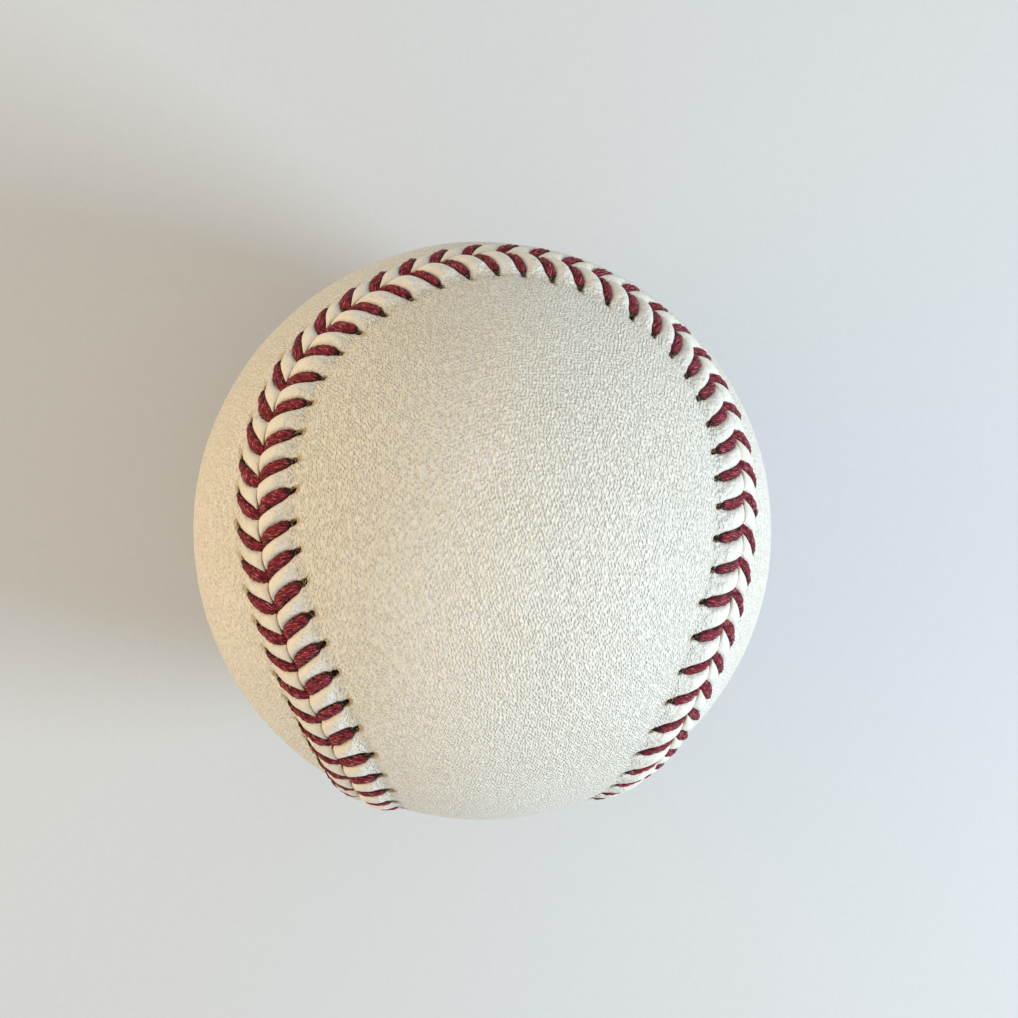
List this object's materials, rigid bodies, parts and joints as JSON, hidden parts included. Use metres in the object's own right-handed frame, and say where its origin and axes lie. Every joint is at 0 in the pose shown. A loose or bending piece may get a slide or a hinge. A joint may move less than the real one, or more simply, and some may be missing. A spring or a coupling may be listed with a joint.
{
  "type": "baseball",
  "caption": "Hand-sewn ball for throwing and batting: a cork and rubber centre wound in yarn, under a grained leather cover laced along its raised seam with waxed thread.",
  "frame": {"origin": "centre of the ball", "axes": "+Z through the middle of the lobe of leather that the picture shows, so the ball lies on the opposite lobe of the same panel; +Y through the waist of the other panel, which is at the top of the picture; +X through one lobe of that other panel, to the right in the picture"},
  "size_m": [0.0744, 0.0744, 0.0744],
  "materials": {
    "ground_cork": "ground cork bound with rubber, matt",
    "black_rubber": "moulded, matt",
    "red_rubber": "moulded, matt",
    "grey_wool": "wound yarn",
    "white_wool": "wound yarn",
    "white_cotton": "fine wound thread",
    "dried_cement": "thin dried coat, satin",
    "cover_leather": "full grain, soft sheen",
    "waxed_thread": "waxed, satin"
  },
  "bodies": {
    "root": {"cork_core": "ground_cork", "lower_black_shell": "black_rubber", "upper_black_shell": "black_rubber", "shell_washer": "red_rubber", "red_rubber_layer": "red_rubber", "first_wool_winding": "grey_wool", "second_wool_winding": "white_wool", "third_wool_winding": "grey_wool", "finishing_winding": "white_cotton", "cement_coat": "dried_cement", "cover_panel_a": "cover_leather", "cover_panel_b": "cover_leather", "thread_first_half": "waxed_thread", "thread_second_half": "waxed_thread"}
  },
  "joints": []
}
